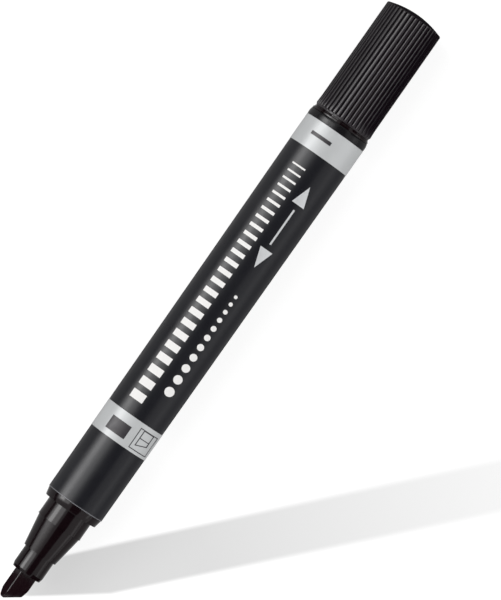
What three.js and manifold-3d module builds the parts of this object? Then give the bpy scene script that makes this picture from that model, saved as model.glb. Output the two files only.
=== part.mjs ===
// A twin-tip permanent marker that lies on its side, in millimetres.
// It lies along X on the plane z = 0: the broad chisel nib points to -X, bare and ready to write,
// and the fine nib at +X is under its ribbed pull-off cap.
// Lengths along the marker are counted from the barrel's broad end, where the front nozzle's flange meets it.
import * as THREE from "three";
import { mergeVertices } from "three/addons/utils/BufferGeometryUtils.js";
import Module from "manifold-3d";

const wasm = await Module();
wasm.setup();

// Barrel: a moulded tube under a printed film
const barrelLength = 94.9;
const barrelBore = 10.6;
const barrelBoreDraft = 0.9; // the bore opens by this much towards the fine end
const barrelRibCount = 6;
const barrelRibThickness = 0.8;
const barrelRibRooting = 0.3; // how far the inner ribs reach into the tube's wall
const broadEndDiameter = 13.15; // over the film
const waistDiameter = 13.8; // over the film, where the gentle taper ends
const rimDiameter = 14.0; // the bare rim past the film's fine end
const rimChamferLength = 0.55;
const rimChamferDepth = 0.13;
const bareRimLength = 1.4;
const rimRise = 0.06; // of the bare rim over the film's fine end
const mouthLength = 8.8; // straight stretch behind the fine end
const flareLength = 7.4; // from the taper up to the straight stretch
const filmThickness = 0.08;
const skinGap = 0.02; // between a film or foil and what it is wrapped round

// Foil bands round the film
const foilThickness = 0.03;
const broadBandWidth = 6.35;
const broadBandInset = 15.4; // from the barrel's broad end
const fineBandWidth = 6.1;
const fineBandInset = 0.2; // from the film's fine end

// Broad nozzle: flange, spigot for a cap, cone and tip sleeve, all one moulding
const joinGap = 0.05; // between a nozzle's flange and the barrel's end
const fitGap = 0.08; // round a nozzle's tail in the barrel's bore
const flangeLength = 1.75;
const flangeFrontDiameter = 12.25;
const flangeBackDiameter = 12.97;
const spigotDiameter = 10.28;
const spigotLength = 4.0;
const lipDiameter = 10.42;
const lipLength = 0.3;
const coneLength = 7.0;
const coneBackDiameter = 10.0;
const coneFrontDiameter = 7.75;
const tipSleeveLength = 4.9;
const tipSleeveDiameter = 7.0;
const tipChamferLength = 0.9;
const tipChamferDepth = 0.22;
const nozzleTailLength = 7.0;
const nozzleWall = 1.05;
const ventRadius = 0.35;

// Broad nib: a flat fibre stock ground to a slanted chisel
const nibWidth = 4.6;
const nibThickness = 2.5;
const nibCorner = 0.25;
const nibReach = 6.65; // from the tip sleeve's front to the writing edge's long corner
const nibSlant = THREE.MathUtils.degToRad(27);
const nibTurn = THREE.MathUtils.degToRad(39); // the stock's turn about the marker's axis
const writingEdgeThickness = 0.5;
const writingEdgeOffset = 0.15; // towards the front face
const longCornerRadius = 0.45;
const shortCornerRadius = 0.6;
const frontBevelLength = 1.0;
const frontBevelDepth = 0.5;
const frontFacetLength = 2.1; // from the writing edge to where the shallow facet leaves the front face
const backBevelLength = 2.3;
const nibGap = 0.1; // round each nib in its nozzle and in the reservoir

// Ink reservoir: a fibre core in a thin wrap
const coreDiameter = 8.6;
const wrapThickness = 0.1;
const reservoirEndGap = 0.3; // to each nozzle's tail
const nibInsertion = 4.0; // how far each nib reaches into the core

// Fine nozzle: rim ring, seat, spigot, seal land, cone and tip tube, all one moulding
const rimRingLength = 0.5;
const rimRingBackDiameter = 13.72;
const rimRingFrontDiameter = 13.5;
const seatStepLength = 0.3;
const seatStepDiameter = 13.0;
const fineSpigotDiameter = 11.1;
const fineSpigotLength = 5.2;
const gripRingRise = 0.1;
const gripRingWidth = 0.6;
const gripRingInset = 2.0; // from the seat step
const shoulderLength = 1.5;
const sealLandDiameter = 6.8;
const sealLandLength = 3.0;
const fineConeLength = 4.6;
const tipTubeDiameter = 3.2;
const tipTubeLength = 1.4;
const fineNozzleWall = 1.0;

// Fine nib: a round fibre rod with a bullet point
const fineNibDiameter = 2.0;
const fineNibReach = 2.6;
const bulletRadius = 0.45;
const bulletLength = 1.2;

// Fine cap: a ribbed shell with a seal liner pressed into it
const capLength = 27.05;
const capRimGap = 0.05; // between the cap's rim and the seat step
const capRimDiameter = 13.16; // of the plain ring before the ribs
const capMouthDiameter = 13.44; // over the ribs where they start
const capDiameter = 13.28;
const capRimFlareLength = 2.4;
const capEndDiameter = 13.22;
const capCrownHeight = 1.05;
const capEdgeRadius = 0.35;
const capFlatDiameter = 3.0; // flat middle of the crowned end
const capTopWall = 1.4;
const capBore = 11.44;
const capBoreDepth = 7.6;
const capInnerBore = 10.4;
const ribCount = 40;
const ribDepth = 0.26;
const ribShare = 0.86; // a rib's part of the pitch at its root
const ribCrestShare = 0.4; // a rib's part of the pitch at its crest
const ribStart = 0.6; // from the cap's rim
const linerGap = 0.05;
const linerFloor = 0.8;
const linerClearance = 0.1; // round the seal land
const linerStart = 8.0; // from the cap's rim

const roundSteps = 48; // sides of each turned piece
const ventSteps = 12; // sides of each air vent
const cornerSteps = 5; // steps of each rounded corner
const capEdgeSteps = 3; // steps of the cap's rounded end edge
const crownSteps = 4; // rings of the cap's crowned end
const cutOvershoot = 1; // how far a cutter runs past the piece that it cuts

// Stations along the marker
const filmEnd = barrelLength - bareRimLength;
const flareEnd = barrelLength - mouthLength;
const flareStart = flareEnd - flareLength;
const filmFineRadius = rimDiameter / 2 - rimRise;
const broadRadius = broadEndDiameter / 2;
const waistRadius = waistDiameter / 2;
const flangeFront = -joinGap - flangeLength;
const spigotFront = flangeFront - spigotLength;
const coneFront = spigotFront - coneLength;
const sleeveFront = coneFront - tipSleeveLength;
const nibTip = sleeveFront - nibReach;
const broadTailEnd = nozzleTailLength;
const coreStart = broadTailEnd + reservoirEndGap;
const fineTailStart = barrelLength - nozzleTailLength;
const coreEnd = fineTailStart - reservoirEndGap;
const rimRingFront = barrelLength + joinGap + rimRingLength;
const seatFront = rimRingFront + seatStepLength;
const fineSpigotFront = seatFront + fineSpigotLength;
const landStart = fineSpigotFront + shoulderLength;
const landEnd = landStart + sealLandLength;
const fineConeEnd = landEnd + fineConeLength;
const tipTubeEnd = fineConeEnd + tipTubeLength;
const fineNibTip = tipTubeEnd + fineNibReach;
const capRim = seatFront + capRimGap;
const capEnd = capRim + capLength;
const capInnerEnd = capEnd - capTopWall;

// The film's outer radius at a station between the barrel's broad end and the film's fine end
function filmRadius(station) {
  if (station <= flareStart)
    return THREE.MathUtils.lerp(broadRadius, waistRadius, station / flareStart);
  const share = Math.min((station - flareStart) / flareLength, 1);
  return THREE.MathUtils.lerp(waistRadius, filmFineRadius, share);
}

function boreRadius(station) {
  return (barrelBore + (barrelBoreDraft * station) / barrelLength) / 2;
}

// Revolves a closed [station, radius] profile about X, with a flat side down
function turned(profile, steps = roundSteps) {
  const points = profile.map(([station, radius]) => new THREE.Vector2(radius, station));
  if (!points[0].equals(points.at(-1))) points.push(points[0].clone());
  const geometry = new THREE.LatheGeometry(points, steps, Math.PI / steps);
  return geometry.rotateZ(-Math.PI / 2);
}

// A wall of even thickness between an outer line of [station, radius] points and the same line drawn inwards
function sleeveProfile(line, thickness) {
  const inner = line.map(([station, radius]) => [station, radius - thickness]).reverse();
  return [...line, ...inner];
}

function toSolid(geometry) {
  const bare = geometry.index ? geometry.toNonIndexed() : geometry;
  const positions = new THREE.BufferGeometry();
  positions.setAttribute("position", bare.getAttribute("position"));
  const merged = mergeVertices(positions, 1e-4);
  return new wasm.Manifold(
    new wasm.Mesh({
      numProp: 3,
      vertProperties: merged.attributes.position.array,
      triVerts: new Uint32Array(merged.index.array),
    }),
  );
}

function toGeometry(solid) {
  const { vertProperties, triVerts } = solid.getMesh();
  const geometry = new THREE.BufferGeometry();
  geometry.setAttribute("position", new THREE.BufferAttribute(vertProperties, 3));
  geometry.setIndex(new THREE.BufferAttribute(triVerts, 1));
  return geometry;
}

// A plain rod about the marker's axis
function rod(start, end, radius, steps = roundSteps) {
  const profile = [
    [start, 0],
    [start, radius],
    [end, radius],
    [end, 0],
  ];
  return turned(profile, steps);
}

// A rectangle with rounded corners, centred on the axis
function roundedRectangle(width, height, radius) {
  const shape = new THREE.Shape();
  const x = width / 2;
  const y = height / 2;
  shape.moveTo(-x + radius, -y);
  shape.lineTo(x - radius, -y);
  shape.absarc(x - radius, -y + radius, radius, -Math.PI / 2, 0);
  shape.absarc(x - radius, y - radius, radius, 0, Math.PI / 2);
  shape.absarc(-x + radius, y - radius, radius, Math.PI / 2, Math.PI);
  shape.absarc(-x + radius, -y + radius, radius, Math.PI, 1.5 * Math.PI);
  return shape;
}

// The chisel stock, or the slot that it passes through, turned about X to its place
function stock(start, end, clearance) {
  const section = roundedRectangle(
    nibWidth + 2 * clearance,
    nibThickness + 2 * clearance,
    nibCorner + clearance,
  );
  const bar = new THREE.ExtrudeGeometry(section, {
    depth: end - start,
    bevelEnabled: false,
    curveSegments: cornerSteps,
  });
  bar.rotateY(Math.PI / 2).rotateX(Math.PI / 2);
  return bar.translate(start, 0, 0);
}

// Turns a piece made in the nib's own frame, width along -Y and front face to +Z, to the nib's place
function turnedWithNib(geometry) {
  return geometry.rotateX(nibTurn);
}

function barrelTube() {
  const cover = filmThickness + skinGap;
  const rimRadius = rimDiameter / 2;
  const outer = [
    [0, broadRadius - cover],
    [flareStart, waistRadius - cover],
    [flareEnd, filmFineRadius - cover],
    [filmEnd + skinGap, filmFineRadius - cover],
    [filmEnd + skinGap, rimRadius],
    [barrelLength - rimChamferLength, rimRadius],
    [barrelLength, rimRadius - rimChamferDepth],
  ];
  const bore = [
    [barrelLength, boreRadius(barrelLength)],
    [0, boreRadius(0)],
  ];
  let tube = toSolid(turned([...outer, ...bore]));
  const ribInner = coreDiameter / 2 + skinGap + wrapThickness + nibGap;
  const ribOuter = boreRadius(barrelLength) + barrelRibRooting;
  const ribLength = coreEnd - coreStart;
  for (let i = 0; i < barrelRibCount; i += 1) {
    const rib = new THREE.BoxGeometry(ribLength, barrelRibThickness, ribOuter - ribInner);
    rib.translate((coreStart + coreEnd) / 2, 0, (ribInner + ribOuter) / 2);
    rib.rotateX((2 * Math.PI * i) / barrelRibCount);
    tube = tube.add(toSolid(rib));
  }
  return toGeometry(tube);
}

function film() {
  const line = [
    [0, broadRadius],
    [flareStart, waistRadius],
    [flareEnd, filmFineRadius],
    [filmEnd, filmFineRadius],
  ];
  return turned(sleeveProfile(line, filmThickness));
}

// A foil ring that follows the film between two stations
function foilBand(start, end) {
  const rise = skinGap + foilThickness;
  const stations = [start, flareStart, flareEnd, end].filter((s) => s >= start && s <= end);
  const line = [...new Set(stations)].map((s) => [s, filmRadius(s) + rise]);
  return turned(sleeveProfile(line, foilThickness));
}

function broadNozzle() {
  const tailRadius = boreRadius(0) - fitGap;
  const chamberRadius = spigotDiameter / 2 - nozzleWall;
  const sleeveRadius = tipSleeveDiameter / 2;
  const chamberFrontRadius = Math.hypot(nibWidth, nibThickness) / 2 + nibGap;
  const outer = [
    [sleeveFront, sleeveRadius - tipChamferDepth],
    [sleeveFront + tipChamferLength, sleeveRadius],
    [coneFront, sleeveRadius],
    [coneFront, coneFrontDiameter / 2],
    [spigotFront, coneBackDiameter / 2],
    [spigotFront, lipDiameter / 2],
    [spigotFront + lipLength, spigotDiameter / 2],
    [flangeFront, spigotDiameter / 2],
    [flangeFront, flangeFrontDiameter / 2],
    [-joinGap, flangeBackDiameter / 2],
    [-joinGap, tailRadius],
    [broadTailEnd, tailRadius],
  ];
  const chamber = [
    [broadTailEnd, chamberRadius],
    [spigotFront, chamberRadius],
    [coneFront, chamberFrontRadius],
    [coneFront, 0],
    [sleeveFront, 0],
  ];
  let nozzle = toSolid(turned([...outer, ...chamber]));
  const slot = turnedWithNib(stock(sleeveFront - cutOvershoot, coneFront + cutOvershoot, nibGap));
  nozzle = nozzle.subtract(toSolid(slot));
  for (const side of [-1, 1]) {
    const vent = rod(sleeveFront - cutOvershoot, coneFront + cutOvershoot, ventRadius, ventSteps);
    vent.translate(0, 0, side * (nibThickness / 2 + nibGap));
    nozzle = nozzle.subtract(toSolid(turnedWithNib(vent)));
  }
  return toGeometry(nozzle);
}

// The outline of the nib seen on its broad face: [along the axis from the long corner, across]
function nibOutline(length) {
  const half = nibWidth / 2;
  const rise = nibWidth * Math.tan(nibSlant);
  const shape = new THREE.Shape();
  const along = new THREE.Vector2(Math.sin(nibSlant), -Math.cos(nibSlant));
  const longCorner = new THREE.Vector2(0, half);
  const shortCorner = new THREE.Vector2(rise, -half);
  const longCut = longCornerRadius / Math.tan((Math.PI / 2 - nibSlant) / 2);
  const shortCut = shortCornerRadius / Math.tan((Math.PI / 2 + nibSlant) / 2);
  const longEdge = longCorner.clone().addScaledVector(along, longCut);
  const shortEdge = shortCorner.clone().addScaledVector(along, -shortCut);
  shape.moveTo(length, half);
  shape.lineTo(longCut, half);
  shape.absarc(longCut, half - longCornerRadius, longCornerRadius, Math.PI / 2, Math.PI + nibSlant);
  shape.lineTo(longEdge.x, longEdge.y);
  shape.lineTo(shortEdge.x, shortEdge.y);
  shape.absarc(
    rise + shortCut,
    -half + shortCornerRadius,
    shortCornerRadius,
    Math.PI + nibSlant,
    1.5 * Math.PI,
  );
  shape.lineTo(length, -half);
  return shape;
}

// How far the rounding moves the outline's foremost point back from the sharp long corner
function nibSetback() {
  const longCut = longCornerRadius / Math.tan((Math.PI / 2 - nibSlant) / 2);
  return longCut - longCornerRadius;
}

// The wedge that the bevels leave, in section across the writing edge: [back from the edge, height]
function nibWedge(length) {
  const face = nibThickness / 2;
  const edgeFront = writingEdgeOffset + writingEdgeThickness / 2;
  const edgeBack = writingEdgeOffset - writingEdgeThickness / 2;
  const shape = new THREE.Shape();
  shape.moveTo(0, edgeBack);
  shape.lineTo(backBevelLength, -face);
  shape.lineTo(backBevelLength, -face - cutOvershoot);
  shape.lineTo(length, -face - cutOvershoot);
  shape.lineTo(length, face + cutOvershoot);
  shape.lineTo(frontFacetLength, face + cutOvershoot);
  shape.lineTo(frontFacetLength, face);
  shape.lineTo(frontBevelLength, edgeFront + frontBevelDepth);
  shape.lineTo(0, edgeFront);
  return shape;
}

function broadNib() {
  const tail = coreStart + nibInsertion;
  const length = tail - nibTip;
  const start = nibTip - nibSetback();
  const bar = toSolid(stock(start - cutOvershoot, tail, 0));
  const plate = new THREE.ExtrudeGeometry(nibOutline(2 * length), {
    depth: nibThickness + 2 * cutOvershoot,
    bevelEnabled: false,
    curveSegments: cornerSteps,
  });
  plate.translate(start, 0, -nibThickness / 2 - cutOvershoot);
  // The wedge runs along the writing edge, which crosses the width at the slant angle.
  const span = 2 * (length + nibWidth);
  const wedge = new THREE.ExtrudeGeometry(nibWedge(2 * length), {
    depth: span,
    bevelEnabled: false,
  });
  wedge.rotateX(Math.PI / 2).translate(0, span / 2, 0).rotateZ(nibSlant);
  const sharpCorner = new THREE.Vector2(start, nibWidth / 2);
  wedge.translate(sharpCorner.x, sharpCorner.y, 0);
  const ground = bar.intersect(toSolid(plate)).intersect(toSolid(wedge));
  return turnedWithNib(toGeometry(ground));
}

function reservoirCore() {
  let core = toSolid(rod(coreStart, coreEnd, coreDiameter / 2));
  const broadPocket = turnedWithNib(stock(coreStart - cutOvershoot, coreStart + nibInsertion + nibGap, nibGap));
  const finePocket = rod(
    coreEnd - nibInsertion - nibGap,
    coreEnd + cutOvershoot,
    fineNibDiameter / 2 + nibGap,
    roundSteps / 2,
  );
  core = core.subtract(toSolid(broadPocket)).subtract(toSolid(finePocket));
  return toGeometry(core);
}

function reservoirWrap() {
  const radius = coreDiameter / 2 + skinGap + wrapThickness;
  const line = [
    [coreStart, radius],
    [coreEnd, radius],
  ];
  return turned(sleeveProfile(line, wrapThickness));
}

function fineNozzle() {
  const tailRadius = boreRadius(fineTailStart) - fitGap;
  const spigotRadius = fineSpigotDiameter / 2;
  const ringStart = seatFront + gripRingInset;
  const ringEnd = ringStart + gripRingWidth;
  const ringRadius = spigotRadius + gripRingRise;
  const nibBore = fineNibDiameter / 2 + nibGap;
  const landRadius = sealLandDiameter / 2;
  const outer = [
    [fineTailStart, tailRadius],
    [barrelLength + joinGap, tailRadius],
    [barrelLength + joinGap, rimRingBackDiameter / 2],
    [rimRingFront, rimRingFrontDiameter / 2],
    [rimRingFront, seatStepDiameter / 2],
    [seatFront, seatStepDiameter / 2],
    [seatFront, spigotRadius],
    [ringStart, spigotRadius],
    [ringStart + gripRingRise, ringRadius],
    [ringEnd - gripRingRise, ringRadius],
    [ringEnd, spigotRadius],
    [fineSpigotFront, spigotRadius],
    [landStart, landRadius],
    [landEnd, landRadius],
    [fineConeEnd, tipTubeDiameter / 2],
    [tipTubeEnd, tipTubeDiameter / 2],
  ];
  const chamber = [
    [tipTubeEnd, nibBore],
    [landEnd, nibBore],
    [landStart, landRadius - fineNozzleWall],
    [fineSpigotFront - shoulderLength, spigotRadius - fineNozzleWall],
    [fineTailStart, spigotRadius - fineNozzleWall],
  ];
  return turned([...outer, ...chamber]);
}

function fineNib() {
  const radius = fineNibDiameter / 2;
  const tail = coreEnd - nibInsertion;
  const shoulder = fineNibTip - bulletLength;
  const profile = [
    [tail, 0],
    [tail, radius],
    [shoulder, radius],
  ];
  // The bullet narrows to a round point.
  for (let i = 1; i <= cornerSteps; i += 1) {
    const angle = ((Math.PI / 2) * i) / cornerSteps;
    const reach = shoulder + bulletLength * Math.sin(angle);
    const width = bulletRadius + (radius - bulletRadius) * Math.cos(angle);
    profile.push([reach, i === cornerSteps ? 0 : width]);
  }
  return turned(profile, roundSteps / 2);
}

// The crowned end's line from the side wall to the flat middle
function crownLine() {
  const side = capEndDiameter / 2;
  const edge = side - capEdgeRadius;
  const flat = capFlatDiameter / 2;
  const sphere = (edge * edge + capCrownHeight * capCrownHeight) / (2 * capCrownHeight);
  const drop = (radius) => sphere - Math.sqrt(sphere * sphere - radius * radius);
  const top = capEnd + drop(flat);
  const shoulder = top - drop(edge) - capEdgeRadius;
  const line = [];
  for (let i = 0; i < capEdgeSteps; i += 1) {
    const angle = ((Math.PI / 2) * i) / capEdgeSteps;
    line.push([shoulder + capEdgeRadius * Math.sin(angle), edge + capEdgeRadius * Math.cos(angle)]);
  }
  for (let i = 0; i <= crownSteps; i += 1) {
    const radius = THREE.MathUtils.lerp(edge, flat, i / crownSteps);
    line.push([top - drop(radius), radius]);
  }
  return line;
}

// The cap's ribbed section: ribs with slanted flanks round a root circle. They run on past the cap's outside.
function ribbedSection() {
  const root = capEndDiameter / 2 - ribDepth;
  const crest = capEndDiameter / 2;
  const beyond = capMouthDiameter / 2 + cutOvershoot;
  const pitch = (2 * Math.PI) / ribCount;
  const flank = [
    [root, ribShare],
    [crest, ribCrestShare],
    [beyond, ribCrestShare],
  ];
  const points = [];
  for (let i = 0; i < ribCount; i += 1) {
    const rise = flank.map(([radius, share]) => [radius, pitch * (i - share / 2)]);
    const fall = flank.map(([radius, share]) => [radius, pitch * (i + share / 2)]).reverse();
    for (const [radius, angle] of [...rise, ...fall]) {
      points.push(new THREE.Vector2(radius * Math.cos(angle), radius * Math.sin(angle)));
    }
  }
  return new THREE.Shape(points);
}

function capShell() {
  const mouth = capMouthDiameter / 2;
  const side = capDiameter / 2;
  const outer = [
    [capRim, capRimDiameter / 2],
    [capRim + ribStart, capRimDiameter / 2],
    [capRim + ribStart, mouth],
    [capRim + capRimFlareLength, side],
    ...crownLine(),
    [capEnd, 0],
    [capRim, 0],
  ];
  const envelope = toSolid(turned(outer, 2 * ribCount));
  const ribs = new THREE.ExtrudeGeometry(ribbedSection(), {
    depth: capLength,
    bevelEnabled: false,
  });
  ribs.rotateY(Math.PI / 2).translate(capRim, 0, 0);
  const bore = turned([
    [capRim - cutOvershoot, 0],
    [capRim - cutOvershoot, capBore / 2],
    [capRim + capBoreDepth, capBore / 2],
    [capRim + capBoreDepth, capInnerBore / 2],
    [capInnerEnd, capInnerBore / 2],
    [capInnerEnd, 0],
  ]);
  return toGeometry(envelope.intersect(toSolid(ribs)).subtract(toSolid(bore)));
}

function capLiner() {
  const outer = capInnerBore / 2 - linerGap;
  const inner = sealLandDiameter / 2 + linerClearance;
  const start = capRim + linerStart;
  const end = capInnerEnd - linerGap;
  return turned([
    [start, outer],
    [end, outer],
    [end, 0],
    [end - linerFloor, 0],
    [end - linerFloor, inner],
    [start, inner],
  ]);
}

// Plain colours of the surfaces
const filmBlack = new THREE.MeshStandardMaterial({ color: 0x1c1c1f, roughness: 0.45 });
const glossBlack = new THREE.MeshStandardMaterial({ color: 0x0f0d10, roughness: 0.18 });
const capBlack = new THREE.MeshStandardMaterial({ color: 0x241f25, roughness: 0.35 });
const silverFoil = new THREE.MeshStandardMaterial({ color: 0xc4c6ca, roughness: 0.3, metalness: 0.9 });
const inkedFibre = new THREE.MeshStandardMaterial({ color: 0x160c10, roughness: 0.4 });
const clearFilm = new THREE.MeshStandardMaterial({ color: 0xe4e6ea, roughness: 0.2 });
const paleLiner = new THREE.MeshStandardMaterial({ color: 0xd9d9d6, roughness: 0.5 });

const marker = new THREE.Group();
const cap = new THREE.Group();
marker.add(cap);

function place(name, geometry, material, group = marker) {
  const mesh = new THREE.Mesh(geometry, material);
  mesh.name = name;
  group.add(mesh);
}

const broadBandEnd = broadBandInset + broadBandWidth;
const fineBandEnd = filmEnd - fineBandInset;

place("barrel_tube", barrelTube(), glossBlack);
place("barrel_film", film(), filmBlack);
place("broad_end_band", foilBand(broadBandInset, broadBandEnd), silverFoil);
place("fine_end_band", foilBand(fineBandEnd - fineBandWidth, fineBandEnd), silverFoil);
place("broad_nozzle", broadNozzle(), glossBlack);
place("broad_nib", broadNib(), inkedFibre);
place("reservoir_core", reservoirCore(), inkedFibre);
place("reservoir_wrap", reservoirWrap(), clearFilm);
place("fine_nozzle", fineNozzle(), glossBlack);
place("fine_nib", fineNib(), inkedFibre);
place("fine_cap_shell", capShell(), capBlack, cap);
place("fine_cap_liner", capLiner(), paleLiner, cap);

// The origin is under the middle of the marker, and the rim's flat underside rests on z = 0.
const restHeight = (rimDiameter / 2) * Math.cos(Math.PI / roundSteps);
marker.position.set(-(nibTip + capEnd) / 2, 0, restHeight);

export default marker;
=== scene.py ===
# %% [markdown]
# A twin-tip permanent marker lies on a white table, seen from straight above. It has a moulded barrel under
# a printed film, a broad chisel nib in a stepped nozzle at one end, and a ribbed pull-off cap at the other.
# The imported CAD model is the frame: it gives every size and place, and this lesson dresses it piece by piece.

# %% Load the frame and find the marker's axis
import math

import bmesh
import bpy
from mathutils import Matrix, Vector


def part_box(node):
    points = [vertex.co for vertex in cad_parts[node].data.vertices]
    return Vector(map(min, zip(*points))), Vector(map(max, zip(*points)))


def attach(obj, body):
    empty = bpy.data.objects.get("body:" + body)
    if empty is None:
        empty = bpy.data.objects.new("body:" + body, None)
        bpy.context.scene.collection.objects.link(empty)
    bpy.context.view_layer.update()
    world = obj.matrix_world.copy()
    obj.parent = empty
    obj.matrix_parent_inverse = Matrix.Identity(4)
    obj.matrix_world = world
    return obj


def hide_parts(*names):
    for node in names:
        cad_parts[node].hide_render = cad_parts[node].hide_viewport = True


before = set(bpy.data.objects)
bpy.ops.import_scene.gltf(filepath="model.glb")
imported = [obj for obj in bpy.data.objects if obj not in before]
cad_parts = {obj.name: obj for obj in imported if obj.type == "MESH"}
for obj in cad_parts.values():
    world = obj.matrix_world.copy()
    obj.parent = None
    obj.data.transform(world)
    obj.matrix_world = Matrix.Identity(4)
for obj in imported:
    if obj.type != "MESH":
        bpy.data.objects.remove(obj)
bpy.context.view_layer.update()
MM = 0.001
tube_low, tube_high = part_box("barrel_tube")
BROAD_END = tube_low.x
AXIS_Z = (tube_low.z + tube_high.z) / 2
print("barrel", round((tube_high.x - tube_low.x) / MM, 2), "mm long, axis", round(AXIS_Z / MM, 3), "mm up")


# %% [markdown]
# Most of the marker is turned work: tubes, cones, rings and rods round one axis. Such a piece could be spun
# from a drawn profile, but the hand way is as quick and easier to follow: a circle is added on the axis and
# extruded ring by ring, and each new ring is scaled to its radius. Stations are in millimetres from the
# barrel's broad end, so that each profile reads like a workshop drawing.

# %% Helpers that pick things in edit mode
SAME_PLACE = MM / 500


def at(station):
    return BROAD_END + station * MM


def from_axis(place):
    return math.hypot(place.y, place.z - AXIS_Z)


def stands_at(place, station):
    return abs(place.x - at(station)) < SAME_PLACE


def only(piece):
    bpy.ops.object.select_all(action="DESELECT")
    piece.select_set(True)
    bpy.context.view_layer.objects.active = piece


def pick(test):
    """Selects the vertices of the mesh in edit mode whose place passes the test."""
    mesh = bpy.context.edit_object.data
    work = bmesh.from_edit_mesh(mesh)
    bpy.ops.mesh.select_all(action="DESELECT")
    for corner in work.verts:
        corner.select_set(bool(test(corner.co)))
    work.select_flush(True)
    bmesh.update_edit_mesh(mesh)


def pick_edges(test):
    """Selects the edges of the mesh in edit mode whose two ends pass the test."""
    bpy.ops.mesh.select_mode(type="EDGE")
    bpy.ops.mesh.select_all(action="DESELECT")
    mesh = bpy.context.edit_object.data
    work = bmesh.from_edit_mesh(mesh)
    for edge in work.edges:
        first, last = edge.verts
        edge.select_set(bool(test(first.co, last.co)))
    bmesh.update_edit_mesh(mesh)


# %% Helpers that turn a profile on the axis
DOUBLES = MM / 2000


def add_ring(name, station, radius, sides):
    """A bare circle about the axis, left in edit mode with all of it selected."""
    bpy.ops.object.select_all(action="DESELECT")
    bpy.ops.mesh.primitive_circle_add(
        vertices=sides, radius=radius * MM, location=(at(station), 0, AXIS_Z), rotation=(0, math.pi / 2, 0)
    )
    piece = bpy.context.active_object
    piece.name = name
    bpy.ops.object.transform_apply(location=True, rotation=True, scale=True)
    bpy.ops.object.mode_set(mode="EDIT")
    bpy.ops.mesh.select_mode(type="VERT")
    bpy.ops.mesh.select_all(action="SELECT")
    return piece


def scale_about_axis(station, grow):
    bpy.ops.transform.resize(value=(1, grow, grow), center_override=(at(station), 0, AXIS_Z))


def carry_ring(line):
    """Extrudes the selected ring from the line's first [station, radius] point through all its others."""
    for (start, radius), (end, new_radius) in zip(line, line[1:]):
        bpy.ops.mesh.extrude_region_move(TRANSFORM_OT_translate={"value": ((end - start) * MM, 0, 0)})
        if new_radius == 0:
            bpy.ops.mesh.merge(type="CENTER")
        else:
            scale_about_axis(end, new_radius / radius)


def weld():
    """Merges doubles, turns the faces outwards and leaves edit mode."""
    bpy.ops.mesh.select_all(action="SELECT")
    bpy.ops.mesh.remove_doubles(threshold=DOUBLES)
    bpy.ops.mesh.normals_make_consistent(inside=False)
    bpy.ops.object.mode_set(mode="OBJECT")


def turned(name, line, sides=192):
    """A closed turned piece. A line from axis to axis is a solid, and any other line closes on itself."""
    solid = line[0][1] == 0
    inner = line[1:] if solid else [*line, line[0]]
    station, radius = inner[0]
    piece = add_ring(name, station, radius, sides)
    if solid:
        carry_ring([inner[0], line[0]])
        pick(lambda place: stands_at(place, station) and from_axis(place) > radius * MM / 2)
    carry_ring(inner)
    weld()
    return piece


# %% [markdown]
# No moulded edge is knife-sharp, and it is the thin bright line along an edge that says how glossy a plastic
# is. A Bevel modifier rounds every edge that turns by more than an angle, and weighted normals then keep the
# flat and straight faces beside it even. Both are applied, so that the mesh itself holds the shape.

# %% Helpers that finish a piece
def apply_modifiers(piece):
    only(piece)
    for modifier in list(piece.modifiers):
        bpy.ops.object.modifier_apply(modifier=modifier.name)


def smooth(piece, angle=32):
    only(piece)
    bpy.ops.object.shade_smooth_by_angle(angle=math.radians(angle))


def round_edges(piece, width, segments=3, angle=22):
    bevel = piece.modifiers.new("rounded edges", "BEVEL")
    bevel.width = width * MM
    bevel.segments = segments
    bevel.limit_method = "ANGLE"
    bevel.angle_limit = math.radians(angle)
    bevel.miter_outer = "MITER_ARC"
    apply_modifiers(piece)
    smooth(piece)
    piece.modifiers.new("even faces", "WEIGHTED_NORMAL").keep_sharp = True
    apply_modifiers(piece)


def dress(piece, material, body, slot, *nodes):
    """Gives a finished piece its material and its body, and hides the CAD nodes that it stands for. The slot is
    not used.
    """
    piece.data.materials.clear()
    piece.data.materials.append(material)
    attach(piece, body)
    if nodes:
        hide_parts(*nodes)
    size = [round(side / MM, 2) for side in piece.dimensions]
    print(piece.name, size, "mm,", len(piece.data.polygons), "faces")


# %% [markdown]
# Plastic, ink and foil are never quite even. Two effects are shared by several finishes, so each is a node
# group that is built once. The first is moulded grain: a fine height for the bump, and soft patches that vary
# colour and gloss. Both come from noise on Object coordinates, so nothing slides when a piece moves.

# %% Node group for moulded grain
def new_group(name, inputs, outputs):
    group = bpy.data.node_groups.new(name, "ShaderNodeTree")
    for title, value in inputs:
        group.interface.new_socket(title, in_out="INPUT", socket_type="NodeSocketFloat").default_value = value
    for title in outputs:
        group.interface.new_socket(title, in_out="OUTPUT", socket_type="NodeSocketFloat")
    return group, group.nodes.new("NodeGroupInput"), group.nodes.new("NodeGroupOutput")


moulded_grain, grain_in, grain_out = new_group(
    "moulded grain", [("Grain Scale", 6000.0), ("Patch Scale", 180.0)], ["Grain", "Patches"]
)
add_node, join = moulded_grain.nodes.new, moulded_grain.links.new
place_on_piece = add_node("ShaderNodeTexCoord")
grain = add_node("ShaderNodeTexNoise")
grain.inputs["Detail"].default_value = 3
patches = add_node("ShaderNodeTexNoise")
patches.inputs["Detail"].default_value = 4
patches.inputs["Roughness"].default_value = 0.6
for noise, scale, output in ((grain, "Grain Scale", "Grain"), (patches, "Patch Scale", "Patches")):
    join(place_on_piece.outputs["Object"], noise.inputs["Vector"])
    join(grain_in.outputs[scale], noise.inputs["Scale"])
    join(noise.outputs["Fac"], grain_out.inputs[output])
print("group:", moulded_grain.name)

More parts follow.
